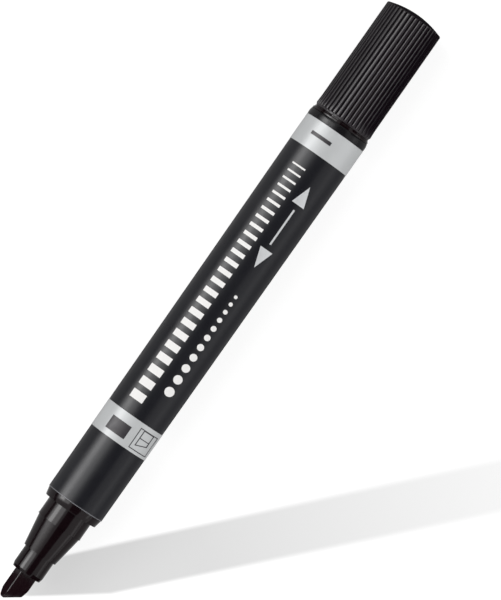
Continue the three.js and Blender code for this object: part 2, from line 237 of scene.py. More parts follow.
# %% [markdown]
# The second effect is drawn streaks. Fibre nibs are bundles of threads that all run along the marker, and
# foil and clear wrap are pulled from rolls, so their marks are long and thin. A noise stretched along X gives
# that: the Mapping node scales X down, so the noise changes slowly along the marker and quickly across it.

# %% Node group for drawn streaks
SLOW_SHARE = 0.12
drawn_streaks, streak_in, streak_out = new_group(
    "drawn streaks", [("Across Scale", 5000.0), ("Along Share", 0.05)], ["Streaks", "Slow Streaks"]
)
add_node, join = drawn_streaks.nodes.new, drawn_streaks.links.new
place_on_piece = add_node("ShaderNodeTexCoord")
stretch = add_node("ShaderNodeCombineXYZ")
stretch.inputs["Y"].default_value = 1
stretch.inputs["Z"].default_value = 1
mapping = add_node("ShaderNodeMapping")
join(streak_in.outputs["Along Share"], stretch.inputs["X"])
join(place_on_piece.outputs["Object"], mapping.inputs["Vector"])
join(stretch.outputs["Vector"], mapping.inputs["Scale"])
slower = add_node("ShaderNodeMath")
slower.operation = "MULTIPLY"
slower.inputs[1].default_value = SLOW_SHARE
join(streak_in.outputs["Across Scale"], slower.inputs[0])
streak_scales = (("Streaks", streak_in.outputs["Across Scale"]), ("Slow Streaks", slower.outputs["Value"]))
for output, scale in streak_scales:
    noise = add_node("ShaderNodeTexNoise")
    noise.inputs["Detail"].default_value = 3
    join(mapping.outputs["Vector"], noise.inputs["Vector"])
    join(scale, noise.inputs["Scale"])
    join(noise.outputs["Fac"], streak_out.inputs[output])
print("group:", drawn_streaks.name)


# %% [markdown]
# Every finish here is a Principled BSDF with the same three varying inputs: a colour between two close tones,
# a roughness between two values, and a bump. One recipe builds them all, from whichever group suits the
# surface: the group's first output is the height, its second one the mask. What is even all over, such as
# metalness or specular level, is set on the shader's own sockets.

# %% Recipe for a finish
NOISE_LOW, NOISE_HIGH = 0.3, 0.7


def finish_of(name, group, settings, tones, gloss, depth, even=None):
    """A material from a group with two outputs: its height drives the bump, its mask colour and roughness."""
    material = bpy.data.materials.new(name)
    material.use_nodes = True
    nodes, links = material.node_tree.nodes, material.node_tree.links
    shader = nodes["Principled BSDF"]
    effect = nodes.new("ShaderNodeGroup")
    effect.node_tree = group
    for title, value in settings.items():
        effect.inputs[title].default_value = value
    height, mask = effect.outputs
    tone = nodes.new("ShaderNodeMix")
    tone.data_type = "RGBA"
    tone.inputs["A"].default_value = (*tones[0], 1)
    tone.inputs["B"].default_value = (*tones[1], 1)
    shine = nodes.new("ShaderNodeMapRange")
    shine.inputs["From Min"].default_value = NOISE_LOW
    shine.inputs["From Max"].default_value = NOISE_HIGH
    shine.inputs["To Min"].default_value = gloss[0]
    shine.inputs["To Max"].default_value = gloss[1]
    bump = nodes.new("ShaderNodeBump")
    bump.inputs["Distance"].default_value = depth * MM
    links.new(mask, tone.inputs["Factor"])
    links.new(tone.outputs["Result"], shader.inputs["Base Color"])
    links.new(mask, shine.inputs["Value"])
    links.new(shine.outputs["Result"], shader.inputs["Roughness"])
    links.new(height, bump.inputs["Height"])
    links.new(bump.outputs["Normal"], shader.inputs["Normal"])
    for title, value in (even or {}).items():
        shader.inputs[title].default_value = value
    material.diffuse_color = (*tones[0], 1)
    print("finish:", name)
    return material


# %% [markdown]
# The barrel's film is black with a satin shine and the faintest orange peel, which softens the lamp's
# reflection. The nozzles are polished and almost pure black. The cap is moulded from a slightly warmer,
# duller black, so its ribs read as soft lines of light and not as mirror strips.

# %% Black plastics
printed_film = finish_of(
    "printed black film", moulded_grain, {"Grain Scale": 2600, "Patch Scale": 90},
    tones=((0.0070, 0.0073, 0.0098), (0.0092, 0.0092, 0.0116)), gloss=(0.27, 0.36), depth=0.0035,
    even={"Specular IOR Level": 0.4},
)
polished_black = finish_of(
    "polished black plastic", moulded_grain, {"Grain Scale": 1500, "Patch Scale": 140},
    tones=((0.0042, 0.0018, 0.0025), (0.0062, 0.0030, 0.0039)), gloss=(0.10, 0.17), depth=0.0015,
    even={"Specular IOR Level": 0.4},
)
barrel_black = finish_of(
    "barrel black plastic", moulded_grain, {"Grain Scale": 1800, "Patch Scale": 120},
    tones=((0.0050, 0.0048, 0.0056), (0.0078, 0.0072, 0.0084)), gloss=(0.20, 0.28), depth=0.002,
    even={"Specular IOR Level": 0.33},
)
cap_black = finish_of(
    "cap black plastic", moulded_grain, {"Grain Scale": 7000, "Patch Scale": 160},
    tones=((0.0046, 0.0020, 0.0042), (0.0068, 0.0032, 0.0062)), gloss=(0.37, 0.43), depth=0.003,
    even={"Specular IOR Level": 0.85},
)

# %% [markdown]
# The bands are aluminium foil: fine streaks over a bright grey, rough enough to blur the room into soft
# tones. A foil that is all metal would mirror the black cards too, so it has only a share of metalness. The
# inks printed on film and foil are matt layers. The nib is dense fibre soaked with black ink, which dries
# with a purple sheen, so it is dark but never neutral.

# %% Foil, inks, fibre and liner
silver_foil = finish_of(
    "silver foil", drawn_streaks, {"Across Scale": 3000, "Along Share": 0.3},
    tones=((0.42, 0.43, 0.435), (0.47, 0.48, 0.485)), gloss=(0.34, 0.42), depth=0.003,
    even={"Metallic": 0.12},
)
white_ink = finish_of(
    "white ink", moulded_grain, {"Grain Scale": 5000, "Patch Scale": 900},
    tones=((0.66, 0.65, 0.64), (0.73, 0.72, 0.71)), gloss=(0.45, 0.6), depth=0.003,
)
silver_ink = finish_of(
    "silver ink", moulded_grain, {"Grain Scale": 6000, "Patch Scale": 700},
    tones=((0.52, 0.53, 0.54), (0.62, 0.63, 0.64)), gloss=(0.4, 0.5), depth=0.003,
    even={"Metallic": 0.3},
)
dark_ink = finish_of(
    "dark ink", moulded_grain, {"Grain Scale": 5000, "Patch Scale": 800},
    tones=((0.018, 0.016, 0.019), (0.030, 0.026, 0.031)), gloss=(0.35, 0.5), depth=0.003,
)
inked_fibre = finish_of(
    "inked fibre", drawn_streaks, {"Across Scale": 6500, "Along Share": 0.04},
    tones=((0.0050, 0.0016, 0.0026), (0.0115, 0.0045, 0.0062)), gloss=(0.18, 0.28), depth=0.010,
    even={"Specular IOR Level": 0.6},
)
pale_liner = finish_of(
    "pale liner plastic", moulded_grain, {"Grain Scale": 4000, "Patch Scale": 300},
    tones=((0.62, 0.62, 0.60), (0.70, 0.70, 0.68)), gloss=(0.4, 0.5), depth=0.003,
)
pale_edge_grey = finish_of(
    "pale grey of the film's cut edge", moulded_grain, {"Grain Scale": 3000, "Patch Scale": 500},
    tones=((0.10, 0.10, 0.11), (0.16, 0.16, 0.17)), gloss=(0.35, 0.45), depth=0.003,
)
clear_wrap = finish_of(
    "clear wrap", drawn_streaks, {"Across Scale": 1500, "Along Share": 0.1},
    tones=((0.72, 0.73, 0.75), (0.80, 0.81, 0.83)), gloss=(0.15, 0.25), depth=0.002,
)

# %% [markdown]
# The barrel is a long tube that tapers very slightly towards the broad end. The film covers it up to its bare
# rim, and what still shows of the tube is that rim, a bright-edged collar that the fine nozzle's ring meets.
# The profile runs along the outside and back through the bore.

# %% Barrel tube
FILM_END = 93.5
FLARE = ((0, 6.575), (78.7, 6.90), (86.1, 6.94), (FILM_END, 6.94))
COVER = 0.10
RIM_START, RIM_TAPER, RIM_END = FILM_END + 0.02, 94.35, 94.9
RIM_FOOT, RIM_RADIUS, RIM_FACE = 6.84, 7.0, 6.87
RIM_BORE, BROAD_BORE = 5.75, 5.3
barrel_line = [(station, radius - COVER) for station, radius in FLARE]
barrel_line += [(RIM_START, RIM_FOOT), (RIM_START, RIM_RADIUS), (RIM_TAPER, RIM_RADIUS)]
barrel_line += [(RIM_END, RIM_FACE), (RIM_END, RIM_BORE), (0, BROAD_BORE)]
barrel = turned("barrel_tube_turned", barrel_line)
round_edges(barrel, width=0.06)
dress(barrel, barrel_black, "marker", "barrel_plastic", "barrel_tube")

# %% [markdown]
# The film is a printed sleeve shrunk onto the tube. It is only 0.08 mm thick, so it is turned as a thin wall:
# the outer line one way and the same line, a little smaller, the other way. At the broad end a thin pale grey
# ring lies on the film's cut edge, where a pale hairline shows.

# %% Printed film
FILM_WALL = 0.08
CUT_EDGE, CUT_EDGE_WALL = ((-0.02, 6.57), (0.17, 6.59)), 0.03


def thin_wall(name, line, thickness):
    inside = [(station, radius - thickness) for station, radius in reversed(line)]
    return turned(name, [*line, *inside])


film = thin_wall("printed_film_sleeve", FLARE, FILM_WALL)
smooth(film)
dress(film, printed_film, "marker", "printed_film", "barrel_film")
# The pale hairline at the cut edge is drawn as a thin ring of pale grey.
cut_edge = thin_wall("film_cut_edge", CUT_EDGE, CUT_EDGE_WALL)
smooth(cut_edge)
dress(cut_edge, pale_edge_grey, "marker", "printed_film")


# %% [markdown]
# Two foil bands go round the film and tell the ends apart. They could be drawn as a second material on the
# film, but a ring of its own gives each a crisp edge. It follows the film's taper and stands a hair above it,
# as hot-stamped foil does.

# %% Foil bands
BROAD_BAND, FINE_BAND = (15.4, 21.75), (87.2, 93.3)
FOIL_RISE, FOIL_WALL = 0.05, 0.03


def film_radius(station):
    for (start, radius), (end, new_radius) in zip(FLARE, FLARE[1:]):
        if station <= end:
            return radius + (new_radius - radius) * (station - start) / (end - start)
    return FLARE[-1][1]


def foil_ring(name, start, end, node):
    stations = [start, *[station for station, radius in FLARE if start < station < end], end]
    line = [(station, film_radius(station) + FOIL_RISE) for station in stations]
    ring = thin_wall(name, line, FOIL_WALL)
    smooth(ring)
    dress(ring, silver_foil, "marker", "silver_foil", node)
    return ring


broad_band = foil_ring("broad_end_foil_ring", *BROAD_BAND, "broad_end_band")
fine_band = foil_ring("fine_end_foil_ring", *FINE_BAND, "fine_end_band")

# %% [markdown]
# The broad nozzle is one polished moulding: a flange that closes the barrel, a spigot that a cap would grip,
# a cone, and a sleeve that holds the nib. It is turned with a small bore, and the nib's slot and its two air
# vents are then cut through the sleeve with a Boolean, because no turned shape can have a flat slot.

# %% Broad nozzle, turned
SLEEVE_MOUTH, SLEEVE_EDGE, SLEEVE_FOOT = -17.7, -16.8, -12.8
CONE_FOOT, LIP_END, SPIGOT_FOOT, FLANGE_BACK, PLUG_END = -5.8, -5.5, -1.8, -0.05, 7.0
MOUTH_RADIUS, SLEEVE_RADIUS, LIP_RADIUS, SPIGOT_RADIUS, PLUG_RADIUS = 3.28, 3.50, 5.21, 5.14, 5.22
CONE_TOP, CONE_BASE, FLANGE_FRONT, FLANGE_RADIUS = 3.875, 5.00, 6.125, 6.485
SMALL_BORE, HOLLOW_TOP, HOLLOW_RADIUS = 1.0, 2.718, 4.09
nozzle = turned("broad_nozzle_moulding", [
    (SLEEVE_MOUTH, MOUTH_RADIUS), (SLEEVE_EDGE, SLEEVE_RADIUS), (SLEEVE_FOOT, SLEEVE_RADIUS),
    (SLEEVE_FOOT, CONE_TOP), (CONE_FOOT, CONE_BASE),
    (CONE_FOOT, LIP_RADIUS), (LIP_END, SPIGOT_RADIUS), (SPIGOT_FOOT, SPIGOT_RADIUS),
    (SPIGOT_FOOT, FLANGE_FRONT), (FLANGE_BACK, FLANGE_RADIUS),
    (FLANGE_BACK, PLUG_RADIUS), (PLUG_END, PLUG_RADIUS),
    (PLUG_END, HOLLOW_RADIUS), (CONE_FOOT, HOLLOW_RADIUS), (SLEEVE_FOOT, HOLLOW_TOP),
    (SLEEVE_FOOT, SMALL_BORE), (SLEEVE_MOUTH, SMALL_BORE),
])
print("broad nozzle turned, from", SLEEVE_MOUTH, "to", PLUG_END)

# %% Broad nozzle, slot and vents
NIB_TURN = math.radians(39)
NIB_WIDTH, NIB_THICKNESS = 4.6, 2.5
SLOT_PLAY, SLOT_CORNER, VENT_RADIUS = 0.2, 0.35, 0.35
CUT_START, CUT_END = SLEEVE_MOUTH - 1, SLEEVE_FOOT + 1


def bar_on_axis(name, start, end, width, thickness, corner=0):
    """A bar along the axis, its long edges rounded by the corner radius. Its origin lies on the axis."""
    bpy.ops.object.select_all(action="DESELECT")
    bpy.ops.mesh.primitive_cube_add(
        size=1, location=(at((start + end) / 2), 0, AXIS_Z),
        scale=((end - start) * MM, width * MM, thickness * MM),
    )
    bar = bpy.context.active_object
    bar.name = name
    bpy.ops.object.transform_apply(location=False, rotation=False, scale=True)
    if corner:
        bpy.ops.object.mode_set(mode="EDIT")
        pick_edges(lambda first, last: abs(first.x - last.x) > MM / 10)
        bpy.ops.mesh.bevel(offset=corner * MM, segments=6, profile=0.5)
        bpy.ops.object.mode_set(mode="OBJECT")
    return bar


def settle(piece):
    """Puts a piece's place and turn into its mesh."""
    only(piece)
    bpy.ops.object.transform_apply(location=True, rotation=True, scale=True)


def combine(piece, other, operation):
    boolean = piece.modifiers.new(operation.lower(), "BOOLEAN")
    boolean.operation = operation
    boolean.solver = "EXACT"
    boolean.object = other
    apply_modifiers(piece)
    bpy.data.objects.remove(other)


slot_cutter = bar_on_axis(
    "slot cutter", CUT_START, CUT_END, NIB_WIDTH + SLOT_PLAY, NIB_THICKNESS + SLOT_PLAY, SLOT_CORNER
)
slot_cutter.rotation_euler.x = NIB_TURN
settle(slot_cutter)
combine(nozzle, slot_cutter, "DIFFERENCE")
for side in (-1, 1):
    out = side * (NIB_THICKNESS + SLOT_PLAY) / 2 * MM
    bpy.ops.mesh.primitive_cylinder_add(
        vertices=32, radius=VENT_RADIUS * MM, depth=(CUT_END - CUT_START) * MM, rotation=(0, math.pi / 2, 0),
        location=(
            at((CUT_START + CUT_END) / 2), -out * math.sin(NIB_TURN), AXIS_Z + out * math.cos(NIB_TURN)
        ),
    )
    vent_cutter = bpy.context.active_object
    settle(vent_cutter)
    combine(nozzle, vent_cutter, "DIFFERENCE")
round_edges(nozzle, width=0.07)
dress(nozzle, polished_black, "marker", "nozzle_plastic", "broad_nozzle")

# %% [markdown]
# The chisel nib is a flat stick of pressed fibre, ground to a slanted edge. It is made as a grinder makes it:
# a bar with rounded long edges is cut to the slanted outline, and three planes then take off the two front
# facets and the long back bevel. Bisect with fill does each cut and closes it.

# %% Chisel nib, outline
NIB_TIP, NIB_TAIL = -24.35, 11.3
SLANT = math.radians(27)
LONG_ROUND, SHORT_ROUND = 0.60, 0.35
CUT_TOLERANCE = MM / 10000
set_back = LONG_ROUND / math.tan((math.pi / 2 - SLANT) / 2) - LONG_ROUND
CORNER_X = NIB_TIP - set_back


def grind(piece, back, height, run, rise):
    """Cuts by a plane along the slanted edge, that far behind it and that high, which climbs rise per run."""
    only(piece)
    along = (math.cos(SLANT), math.sin(SLANT))
    corner = (at(CORNER_X), NIB_WIDTH / 2 * MM)
    slope = math.hypot(run, rise)
    outward = (-abs(rise) / slope, math.copysign(run / slope, height))
    bpy.ops.object.mode_set(mode="EDIT")
    bpy.ops.mesh.select_all(action="SELECT")
    bpy.ops.mesh.bisect(
        plane_co=(corner[0] + back * MM * along[0], corner[1] + back * MM * along[1], AXIS_Z + height * MM),
        plane_no=(outward[0] * along[0], outward[0] * along[1], outward[1]),
        use_fill=True, clear_outer=True, threshold=CUT_TOLERANCE,
    )
    bpy.ops.object.mode_set(mode="OBJECT")


def edge_angle(across):
    """The outline's angle at its front corner, on the side where y has that sign."""
    return math.pi / 2 - SLANT if across > 0 else math.pi / 2 + SLANT


def round_upright_edge(piece, across, radius):
    """Rounds the upright edge at the front of the outline, on the side where y has that sign."""
    def at_the_front(first, last):
        upright = abs(first.z - last.z) > MM and abs(first.y - last.y) < MM / 10
        return upright and first.y * across > MM and first.x < 0

    only(piece)
    bpy.ops.object.mode_set(mode="EDIT")
    pick_edges(at_the_front)
    bpy.ops.mesh.bevel(offset=radius * MM / math.tan(edge_angle(across) / 2), segments=10, profile=0.5)
    bpy.ops.object.mode_set(mode="OBJECT")


outline = bar_on_axis("nib outline", CORNER_X - 3, NIB_TAIL + 1, NIB_WIDTH, NIB_THICKNESS + 2)
grind(outline, back=0, height=0, run=0, rise=1)
round_upright_edge(outline, 1, LONG_ROUND)
round_upright_edge(outline, -1, SHORT_ROUND)
print("nib outline cut, sharp corner at", round(CORNER_X, 2))

# %% Chisel nib, ground
NIB_EDGE_ROUND = 0.25
FACE = NIB_THICKNESS / 2
nib = bar_on_axis("chisel_nib_ground", CORNER_X - 2, NIB_TAIL, NIB_WIDTH, NIB_THICKNESS, NIB_EDGE_ROUND)
settle(outline)
settle(nib)
combine(nib, outline, "INTERSECT")
grind(nib, back=0, height=0.40, run=1.0, rise=0.50)
grind(nib, back=1.0, height=0.90, run=1.1, rise=FACE - 0.90)
grind(nib, back=0, height=-0.10, run=2.3, rise=FACE - 0.10)
bpy.context.scene.cursor.location = (at(NIB_TIP), 0, AXIS_Z)
only(nib)
bpy.ops.object.origin_set(type="ORIGIN_CURSOR")
nib.rotation_euler.x = NIB_TURN
settle(nib)
round_edges(nib, width=0.05, segments=2)
dress(nib, inked_fibre, "marker", "inked_nib", "broad_nib")

# %% [markdown]
# Under the cap the fine end has its own moulding: a thin ring against the barrel's rim, a seat for the cap, a
# spigot with a grip ring, a smooth land that the cap's liner seals on, a cone and a thin tube for the nib.
# All of it is round, so one profile turns it, bore and all.

# %% Fine nozzle
STEM_START, HOLLOW_END = 87.9, 99.45
RING_START, RING_END, SEAT_END, GRIP_START, GRIP_END = 94.95, 95.45, 95.75, 97.75, 98.35
SHOULDER, LAND_START, LAND_END, TUBE_START, TUBE_END = 100.95, 102.45, 105.45, 110.05, 111.45
STEM_RADIUS, RING_RADIUS, RING_FACE, SEAT_RADIUS, HOLD_RADIUS = 5.636, 6.84, 6.79, 6.60, 5.55
LAND_RADIUS, TUBE_RADIUS, GRIP_RISE = 3.4, 1.6, 0.1
FINE_BORE, FUNNEL_RADIUS, STEM_BORE = 1.1, 2.4, 4.55
fine_nozzle = turned("fine_nozzle_moulding", [
    (STEM_START, STEM_RADIUS), (RING_START, STEM_RADIUS),
    (RING_START, RING_RADIUS), (RING_END, RING_FACE),
    (RING_END, SEAT_RADIUS), (SEAT_END, SEAT_RADIUS),
    (SEAT_END, HOLD_RADIUS), (GRIP_START, HOLD_RADIUS),
    (GRIP_START + GRIP_RISE, HOLD_RADIUS + GRIP_RISE), (GRIP_END - GRIP_RISE, HOLD_RADIUS + GRIP_RISE),
    (GRIP_END, HOLD_RADIUS), (SHOULDER, HOLD_RADIUS),
    (LAND_START, LAND_RADIUS), (LAND_END, LAND_RADIUS),
    (TUBE_START, TUBE_RADIUS), (TUBE_END, TUBE_RADIUS),
    (TUBE_END, FINE_BORE), (LAND_END, FINE_BORE), (LAND_START, FUNNEL_RADIUS),
    (HOLLOW_END, STEM_BORE), (STEM_START, STEM_BORE),
])
round_edges(fine_nozzle, width=0.05)
dress(fine_nozzle, polished_black, "marker", "nozzle_plastic", "fine_nozzle")

# %% [markdown]
# The fine nib is a thin round rod of the same fibre. A cone set on the rod would leave a hard ring between
# them, so its bullet point is a quarter ellipse of rings that starts at the rod's full width.

# %% Fine nib
FINE_TAIL, FINE_TIP, FINE_RADIUS = 83.6, 114.05, 1.0
BULLET, BULLET_RINGS = 1.2, 12
POINT_RADIUS, TIP_RADIUS, TIP_RISE = 0.45, 0.30, 0.03
bullet = []
for step in range(1, BULLET_RINGS + 1):
    angle = math.pi / 2 * step / BULLET_RINGS
    reach = FINE_TIP - BULLET + BULLET * math.sin(angle)
    bullet.append((reach, POINT_RADIUS + (FINE_RADIUS - POINT_RADIUS) * math.cos(angle)))
bullet[-1] = (FINE_TIP, TIP_RADIUS)
rod = [(FINE_TAIL, 0), (FINE_TAIL, FINE_RADIUS), (FINE_TIP - BULLET, FINE_RADIUS)]
fine_nib = turned("fine_nib_rod", [*rod, *bullet, (FINE_TIP + TIP_RISE, 0)], sides=64)
smooth(fine_nib, angle=50)
dress(fine_nib, inked_fibre, "marker", "inked_nib", "fine_nib")

# %% [markdown]
# The reservoir is a fibre core in a clear wrap. Nothing of it shows while the marker is whole, and the CAD
# solids have its right shape, so they stay and only get their finishes.

# %% Reservoir
for node, finish in (("reservoir_core", inked_fibre), ("reservoir_wrap", clear_wrap)):
    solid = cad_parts[node]
    solid.data.materials.clear()
    solid.data.materials.append(finish)
    print(node, "keeps its solid and gets", finish.name)

# %% [markdown]
# The cap's grip is forty broad rounded ribs with narrow, deep grooves between them, a groove uppermost.
# Cutting grooves with Booleans would leave hard, uneven edges, so the ribs are drawn into the ring itself:
# each pitch has twelve vertices, and scaling them in pairs by their place in the pitch makes the ring wavy.
# Extruding the wavy ring then draws all the ribs at once. The ribs rise from a smooth rim within a third of a
# millimetre, and at the far end the dome cuts them off.

# %% Cap, the wavy ring
RIBS, STEPS = 40, 12
CAP_RIM, CAP_END = 95.8, 122.85
MOUTH_CREST, SIDE_CREST, END_CREST = 6.72, 6.64, 6.61
RIB_DEPTH = 0.26
RIB_WAVE = (1.0, 0.985, 0.95, 0.87, 0.57, -0.15, -0.9)


def pitch_step(place):
    """Which step of its pitch a vertex is on: 0 on the crest, 6 in the middle of the groove."""
    turn = math.atan2(place.z - AXIS_Z, place.y) / (2 * math.pi) * RIBS * STEPS
    step = (round(turn) + STEPS // 2) % STEPS
    return min(step, STEPS - step)


def shape_ring(station, old, new):
    """Scales the ring at the station from old radii to new ones, one for each step of the pitch."""
    for step, (radius, new_radius) in enumerate(zip(old, new)):
        if not math.isclose(radius, new_radius, abs_tol=1e-6):
            pick(lambda place: stands_at(place, station) and pitch_step(place) == step)
            scale_about_axis(station, new_radius / radius)


def ribbed(crest, share=1.0, most=math.inf):
    """The ring's radii for ribs that rise by this share of their depth, cut off at the radius most."""
    return [min(crest - RIB_DEPTH + RIB_DEPTH * share * wave, most) for wave in RIB_WAVE]


# %% Cap, the ribs and the crowned end
CROWN_RISE, CROWN_FLAT, CROWN_RINGS = 1.05, 1.5, 8
EDGE_ROUND, EDGE_TURN = 0.35, math.radians(75)
MOUTH_BORE, MOUTH_EDGE, MOUTH_GROUND, MOUTH_CHAMFER = 5.72, 6.46, 6.56, 0.34
RUN_IN = ((0.42, 0.6), (0.50, 0.9), (0.64, 1.0))
MOUTH_LENGTH = 2.4


def crown_line():
    """[station, radius] down the rounded edge and over the slight dome to its flat middle."""
    edge = END_CREST - EDGE_ROUND
    sphere = (edge * edge + CROWN_RISE * CROWN_RISE) / (2 * CROWN_RISE)

    def drop(radius):
        return sphere - math.sqrt(sphere * sphere - radius * radius)

    shoulder = CAP_END + drop(CROWN_FLAT) - drop(edge)
    line = []
    for step in range(CROWN_RINGS + 1):
        angle = EDGE_TURN * step / CROWN_RINGS
        line.append((shoulder - EDGE_ROUND * (1 - math.sin(angle)), edge + EDGE_ROUND * math.cos(angle)))
    dome = line[-1][1]
    for step in range(1, CROWN_RINGS + 1):
        radius = dome + (CROWN_FLAT - dome) * step / CROWN_RINGS
        line.append((CAP_END + drop(CROWN_FLAT) - drop(radius), radius))
    return line


before, radii = CAP_RIM + MOUTH_CHAMFER, [MOUTH_GROUND] * len(RIB_WAVE)
cap = add_ring("ribbed_cap_shell", CAP_RIM, MOUTH_BORE, RIBS * STEPS)
carry_ring([(CAP_RIM, MOUTH_BORE), (CAP_RIM, MOUTH_EDGE), (before, MOUTH_GROUND)])
rings = [(CAP_RIM + reach, ribbed(MOUTH_CREST, share)) for reach, share in RUN_IN]
rings.append((CAP_RIM + MOUTH_LENGTH, ribbed(SIDE_CREST)))
rings += [(station, ribbed(END_CREST, most=radius)) for station, radius in crown_line()]
for station, new_radii in rings:
    pick(lambda place: stands_at(place, before))
    bpy.ops.mesh.extrude_region_move(TRANSFORM_OT_translate={"value": ((station - before) * MM, 0, 0)})
    shape_ring(station, radii, new_radii)
    before, radii = station, new_radii
pick(lambda place: stands_at(place, before))
carry_ring([(before, radii[0]), (CAP_END, 0)])
print("cap outside:", len(rings), "rings of", RIBS * STEPS, "vertices")

# %% Cap, the bore
CAP_BORE, MOUTH_DEPTH, END_WALL = 5.20, 7.6, 1.4
mouth_end, bore_end = CAP_RIM + MOUTH_DEPTH, CAP_END - END_WALL
pick(lambda place: stands_at(place, CAP_RIM) and from_axis(place) < (MOUTH_BORE + MOUTH_EDGE) / 2 * MM)
carry_ring([
    (CAP_RIM, MOUTH_BORE), (mouth_end, MOUTH_BORE), (mouth_end, CAP_BORE), (bore_end, CAP_BORE), (bore_end, 0)
])
weld()
smooth(cap, angle=40)
dress(cap, cap_black, "fine_cap", "cap_plastic", "fine_cap_shell")

# %% [markdown]
# A pale liner is pressed into the cap. It is a plain turned cup whose bore slides over the nozzle's land and
# keeps the fine nib from drying out. It only shows when the cap is off.

# %% Cap liner
LINER_MOUTH, LINER_FLOOR, LINER_END = 103.8, 120.6, 121.4
LINER_RADIUS, LINER_BORE = 5.15, 3.5
liner = turned("cap_seal_liner", [
    (LINER_END, 0), (LINER_END, LINER_RADIUS), (LINER_MOUTH, LINER_RADIUS), (LINER_MOUTH, LINER_BORE),
    (LINER_FLOOR, LINER_BORE), (LINER_FLOOR, 0),
])
round_edges(liner, width=0.08)
dress(liner, pale_liner, "fine_cap", "liner_plastic", "fine_cap_liner")

# %% [markdown]
# The print is plain: a thick bar and a thin bar on the bands tell the broad end from the fine end, a small
# framed drawing shows a chisel nib, two rows of stroke samples go from wide to narrow, and a double arrow
# points to both ends. Each mark is drawn flat above the marker, sliced into narrow strips so that it can
# follow the curve, pressed down by a Shrinkwrap, and given the thickness of a layer of ink.

# %% Helpers for flat marks
ABOVE = 12.0
STRIP, INK_GAP, INK_THICKNESS = 0.2, 0.008, 0.018


def flat_bar(station, y, length, width, turn=0.0):
    """A flat bar above the marker, its middle at that station and y millimetres off the axis."""
    bpy.ops.object.select_all(action="DESELECT")
    bpy.ops.mesh.primitive_plane_add(
        size=1, location=(at(station), y * MM, AXIS_Z + ABOVE * MM), rotation=(0, 0, turn)
    )
    mark = bpy.context.active_object
    mark.scale = (length * MM, width * MM, 1)
    settle(mark)
    return mark


def flat_stroke(start, end, width):
    """A flat bar from one point to another."""
    run, rise = end[0] - start[0], end[1] - start[1]
    middle = ((start[0] + end[0]) / 2, (start[1] + end[1]) / 2)
    return flat_bar(*middle, math.hypot(run, rise) + width, width, math.atan2(rise, run))


def flat_round(station, y, across, sides=40, stretch=(1, 1), turn=0.0):
    """A flat disc, or with three sides a triangle that points along the marker."""
    middle = (at(station), y * MM, AXIS_Z + ABOVE * MM)
    bpy.ops.object.select_all(action="DESELECT")
    bpy.ops.mesh.primitive_circle_add(
        vertices=sides, radius=across / 2 * MM, fill_type="NGON", location=middle, rotation=(0, 0, turn)
    )
    mark = bpy.context.active_object
    settle(mark)
    bpy.context.scene.cursor.location = middle
    bpy.ops.object.origin_set(type="ORIGIN_CURSOR")
    mark.scale = (*stretch, 1)
    settle(mark)
    return mark


def slice_lengthwise(piece):
    """Cuts the mesh in edit mode into narrow strips along the marker."""
    low = min(corner.co.y for corner in piece.data.vertices) / MM
    high = max(corner.co.y for corner in piece.data.vertices) / MM
    cut = math.ceil(low / STRIP) * STRIP
    while cut < high:
        bpy.ops.mesh.select_all(action="SELECT")
        bpy.ops.mesh.bisect(plane_co=(0, cut * MM, 0), plane_no=(0, 1, 0), threshold=CUT_TOLERANCE)
        cut += STRIP


def press_on(name, marks, target, ink, slot):
    """Joins flat marks of one ink and lays them on the target piece."""
    bpy.ops.object.select_all(action="DESELECT")
    for mark in marks:
        mark.select_set(True)
    bpy.context.view_layer.objects.active = marks[0]
    if len(marks) > 1:
        bpy.ops.object.join()
    layer = bpy.context.active_object
    layer.name = name
    bpy.ops.object.mode_set(mode="EDIT")
    slice_lengthwise(layer)
    weld()
    wrap = layer.modifiers.new("pressed on", "SHRINKWRAP")
    wrap.wrap_method = "PROJECT"
    wrap.use_project_z = True
    wrap.use_negative_direction = True
    wrap.use_positive_direction = False
    wrap.target = target
    wrap.offset = INK_GAP * MM
    shell = layer.modifiers.new("ink layer", "SOLIDIFY")
    shell.thickness = INK_THICKNESS * MM
    shell.offset = 1
    apply_modifiers(layer)
    smooth(layer, angle=40)
    dress(layer, ink, "marker", slot)


# %% Marks on the bands
PEN_LINE = 0.19
FRAME_START, FRAME_END, FRAME_NEAR, FRAME_FAR = 16.12, 20.67, -2.35, -6.25
LONG_POINT, SHORT_POINT, DRAWN_NECK, DRAWN_END = 17.12, 17.92, 18.82, 20.57
DRAWN_NEAR, DRAWN_FAR = -3.2, -5.4


def drawn_outline(corners):
    """Strokes from each corner to the next one, and from the last one back to the first."""
    return [flat_stroke(start, end, PEN_LINE) for start, end in zip(corners, corners[1:] + corners[:1])]


broad_bar = flat_bar(station=18.22, y=1.7, length=3.0, width=4.6)
fine_bar = flat_bar(station=90.52, y=1.6, length=0.8, width=4.8)
press_on("broad_end_bar", [broad_bar], broad_band, dark_ink, "printed_film")
press_on("fine_end_bar", [fine_bar], fine_band, dark_ink, "printed_film")
drawing = drawn_outline([
    (FRAME_START, FRAME_NEAR), (FRAME_END, FRAME_NEAR), (FRAME_END, FRAME_FAR), (FRAME_START, FRAME_FAR)
])
drawing += drawn_outline([
    (LONG_POINT, DRAWN_NEAR), (DRAWN_NECK, DRAWN_NEAR), (DRAWN_END, DRAWN_NEAR),
    (DRAWN_END, DRAWN_FAR), (DRAWN_NECK, DRAWN_FAR), (SHORT_POINT, DRAWN_FAR),
])
drawing.append(flat_stroke((DRAWN_NECK, DRAWN_NEAR), (DRAWN_NECK, DRAWN_FAR), PEN_LINE))
press_on("chisel_nib_drawing", drawing, broad_band, dark_ink, "printed_film")

# %% Stroke samples along the barrel
STROKES_Y, STROKE_LENGTH, DOTS_Y = 2.05, 3.1, -2.75


